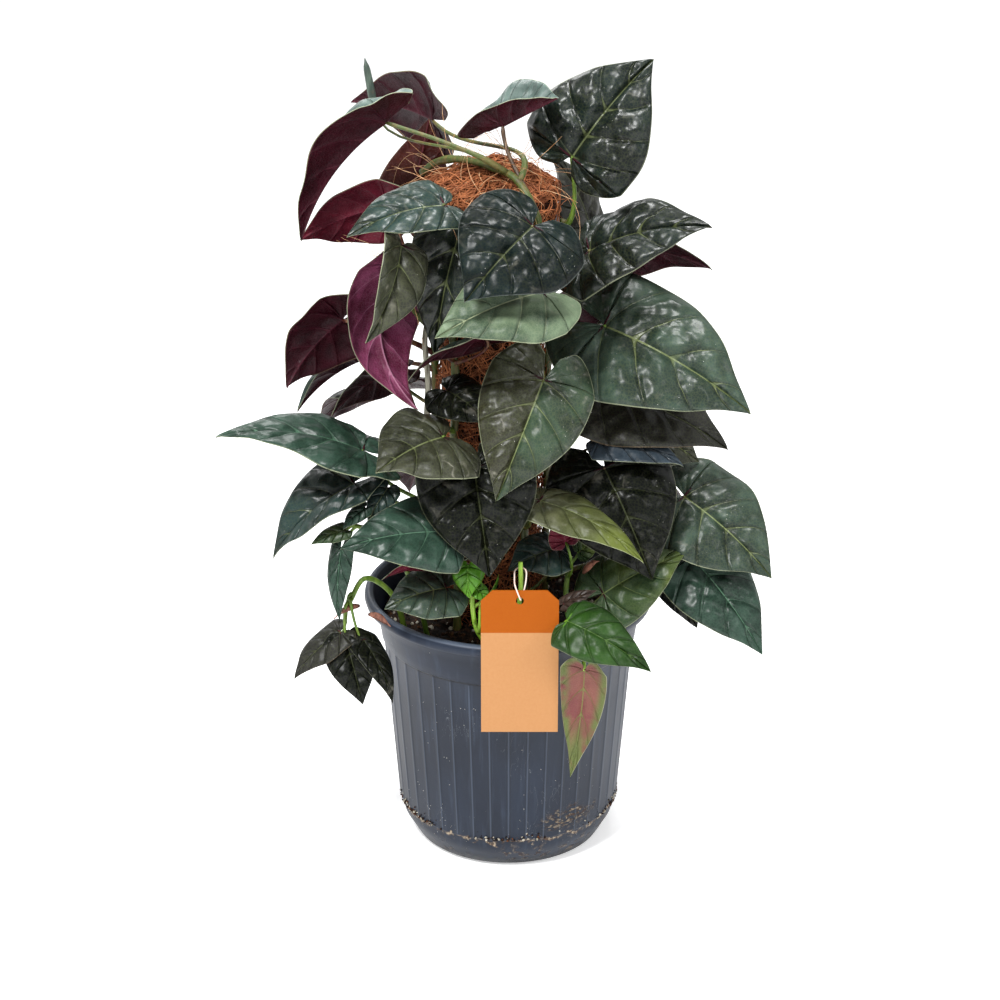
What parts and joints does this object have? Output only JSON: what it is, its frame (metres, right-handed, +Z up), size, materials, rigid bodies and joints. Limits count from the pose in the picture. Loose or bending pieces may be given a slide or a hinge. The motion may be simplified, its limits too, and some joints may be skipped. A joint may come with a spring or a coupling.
{
  "type": "potted red arrow syngonium",
  "caption": "Climbing arrowhead plant with dark heart-shaped leaves, burgundy beneath, on a coir pole in a round fluted nursery pot with a hanging plant tag.",
  "frame": {"origin": "centre of the pot's underside, on the surface it stands on", "axes": "+Z up the pole; the tag hangs at -Y, the front"},
  "size_m": [0.4442, 0.3289, 0.6622],
  "materials": {
    "pot": "satin, moulded",
    "soil": "rough, crumbly",
    "pole_core": "bare",
    "coir": "coarse loose fibre",
    "stem": "smooth, living",
    "leaf": "satin above, burgundy beneath",
    "tag": "printed",
    "tag_loop": "soft"
  },
  "bodies": {
    "root": {"pot": "pot", "soil": "soil", "pole_core": "pole_core", "coir_sleeve": "coir", "stem_right": "stem", "stem_front_right": "stem", "stem_front_left": "stem", "stem_left": "stem", "stem_back_left": "stem", "stem_back_right": "stem", "shoot_right": "stem", "shoot_front": "stem", "shoot_left": "stem", "shoot_side": "stem", "leaf_crown_left": "leaf", "leaf_crown_back_left": "leaf", "leaf_crown_middle": "leaf", "leaf_crown_right": "leaf", "leaf_crown_behind": "leaf", "leaf_shoulder_back": "leaf", "leaf_heart_upper": "leaf", "leaf_heart_pale": "leaf", "leaf_left_bullate": "leaf", "leaf_left_shelf": "leaf", "leaf_left_red_far": "leaf", "leaf_right_shelf": "leaf", "leaf_right_red_under": "leaf", "leaf_right_red_mid": "leaf", "leaf_right_red_low": "leaf", "leaf_right_largest": "leaf", "leaf_front_centre": "leaf", "leaf_right_brown": "leaf", "leaf_right_blue": "leaf", "leaf_right_olive": "leaf", "leaf_right_lower": "leaf", "leaf_right_dark_round": "leaf", "leaf_front_narrow": "leaf", "leaf_right_hanging": "leaf", "leaf_right_dark_back": "leaf", "leaf_low_right_green": "leaf", "leaf_low_bright": "leaf", "leaf_low_pink": "leaf", "leaf_left_red_large": "leaf", "leaf_left_folded": "leaf", "leaf_left_magenta": "leaf", "leaf_left_olive_small": "leaf", "leaf_left_burgundy": "leaf", "leaf_centre_red_narrow": "leaf", "leaf_left_long": "leaf", "leaf_left_drooping": "leaf", "leaf_front_olive": "leaf", "leaf_front_black_small": "leaf", "leaf_front_black": "leaf", "leaf_left_elliptic": "leaf", "leaf_rim_red": "leaf", "leaf_rim_grey": "leaf", "leaf_soil_dark": "leaf", "leaf_spear": "leaf", "tag": "tag", "tag_loop": "tag_loop"}
  },
  "joints": []
}
